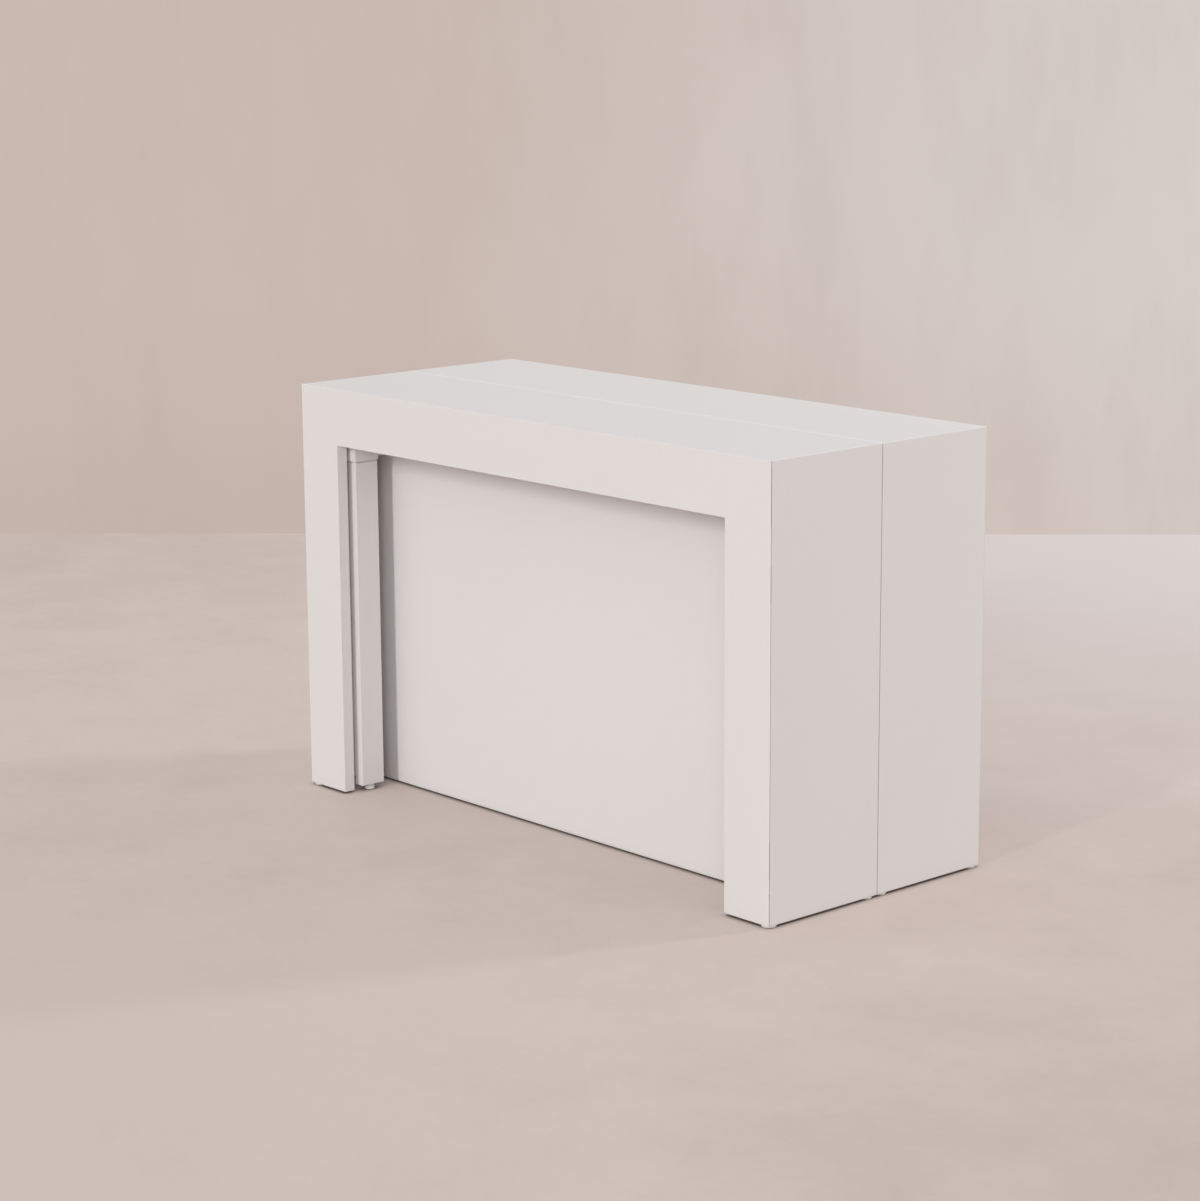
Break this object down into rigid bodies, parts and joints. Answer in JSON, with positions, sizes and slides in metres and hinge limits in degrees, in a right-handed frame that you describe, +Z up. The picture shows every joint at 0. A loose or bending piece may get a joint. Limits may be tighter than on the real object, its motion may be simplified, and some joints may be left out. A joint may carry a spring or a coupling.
{
  "type": "extendable console table",
  "caption": "White lacquered console table with mitred portal ends that splits along its length and pulls out on telescopic rails over a central support with posts.",
  "frame": {"origin": "on the floor under the middle of the closed table", "axes": "+X along the long side, +Y to the rear half, which stands still, +Z up; the front half pulls out to -Y"},
  "size_m": [1.2, 0.5, 0.75],
  "materials": {
    "white_lacquer": "satin lacquer on board",
    "white_steel": "satin powder coat",
    "aluminium": "natural anodised extrusion",
    "black_nylon": "moulded",
    "white_plastic": "moulded",
    "foot_plastic": "moulded pad on a threaded stem",
    "beech": "planed",
    "zinc_steel": "zinc plated"
  },
  "bodies": {
    "rear_half": {"rear_portal_board": "white_lacquer", "rear_top_panel": "white_lacquer", "rear_left_side": "white_lacquer", "rear_right_side": "white_lacquer", "rear_stretcher": "white_lacquer", "rear_corner_brackets": "zinc_steel", "rear_bracket_screws": "zinc_steel", "rear_glides": "white_plastic", "rear_rail_cleats": "beech", "rear_left_rail": "aluminium", "rear_right_rail": "aluminium", "rear_rail_shoes": "black_nylon", "peg_bushes": "black_nylon"},
    "stage_1": {"stage_1_left_rail": "aluminium", "stage_1_right_rail": "aluminium", "stage_1_rail_shoes": "black_nylon", "stage_1_rail_plugs": "black_nylon"},
    "stage_2": {"stage_2_left_rail": "aluminium", "stage_2_right_rail": "aluminium", "stage_2_rail_shoes": "black_nylon", "stage_2_rail_plugs": "black_nylon"},
    "middle_support": {"middle_left_rail": "aluminium", "middle_right_rail": "aluminium", "middle_rail_shoes": "black_nylon", "middle_rail_plugs": "black_nylon", "left_post_socket": "white_steel", "right_post_socket": "white_steel", "socket_bolts": "zinc_steel", "left_post": "white_lacquer", "right_post": "white_lacquer", "post_screws": "zinc_steel", "left_panel_batten": "white_lacquer", "right_panel_batten": "white_lacquer", "centre_panel": "white_lacquer", "foot_inserts": "zinc_steel"},
    "stage_4": {"stage_4_left_rail": "aluminium", "stage_4_right_rail": "aluminium", "stage_4_rail_shoes": "black_nylon", "stage_4_rail_plugs": "black_nylon"},
    "stage_5": {"stage_5_left_rail": "aluminium", "stage_5_right_rail": "aluminium", "stage_5_rail_shoes": "black_nylon", "stage_5_rail_plugs": "black_nylon"},
    "front_half": {"front_portal_board": "white_lacquer", "front_top_panel": "white_lacquer", "front_left_side": "white_lacquer", "front_right_side": "white_lacquer", "front_stretcher": "white_lacquer", "front_corner_brackets": "zinc_steel", "front_bracket_screws": "zinc_steel", "front_glides": "white_plastic", "front_rail_cleats": "beech", "front_left_rail": "aluminium", "front_right_rail": "aluminium", "front_rail_plugs": "black_nylon", "leaf_pegs": "zinc_steel"},
    "left_foot": {"left_levelling_foot": "foot_plastic"},
    "right_foot": {"right_levelling_foot": "foot_plastic"}
  },
  "joints": [
    {"name": "stage_1_slide", "type": "slide", "parent": "rear_half", "child": "stage_1", "axis": [0, -1, 0], "range_m": [0, 0.31]},
    {"name": "stage_2_slide", "type": "slide", "parent": "stage_1", "child": "stage_2", "axis": [0, -1, 0], "range_m": [0, 0.31]},
    {"name": "middle_support_slide", "type": "slide", "parent": "stage_2", "child": "middle_support", "axis": [0, -1, 0], "range_m": [0, 0.31]},
    {"name": "stage_4_slide", "type": "slide", "parent": "middle_support", "child": "stage_4", "axis": [0, -1, 0], "range_m": [0, 0.31]},
    {"name": "stage_5_slide", "type": "slide", "parent": "stage_4", "child": "stage_5", "axis": [0, -1, 0], "range_m": [0, 0.31]},
    {"name": "front_half_slide", "type": "slide", "parent": "stage_5", "child": "front_half", "axis": [0, -1, 0], "range_m": [0, 0.31]},
    {"name": "left_foot_screw", "type": "slide", "parent": "middle_support", "child": "left_foot", "axis": [0, 0, -1], "range_m": [0, 0.008]},
    {"name": "right_foot_screw", "type": "slide", "parent": "middle_support", "child": "right_foot", "axis": [0, 0, -1], "range_m": [0, 0.008]}
  ],
  "couplings": [
    {"joint": "stage_2_slide", "follows": "stage_1_slide", "ratio": 1},
    {"joint": "middle_support_slide", "follows": "stage_1_slide", "ratio": 1},
    {"joint": "stage_4_slide", "follows": "stage_1_slide", "ratio": 1},
    {"joint": "stage_5_slide", "follows": "stage_1_slide", "ratio": 1},
    {"joint": "front_half_slide", "follows": "stage_1_slide", "ratio": 1}
  ]
}
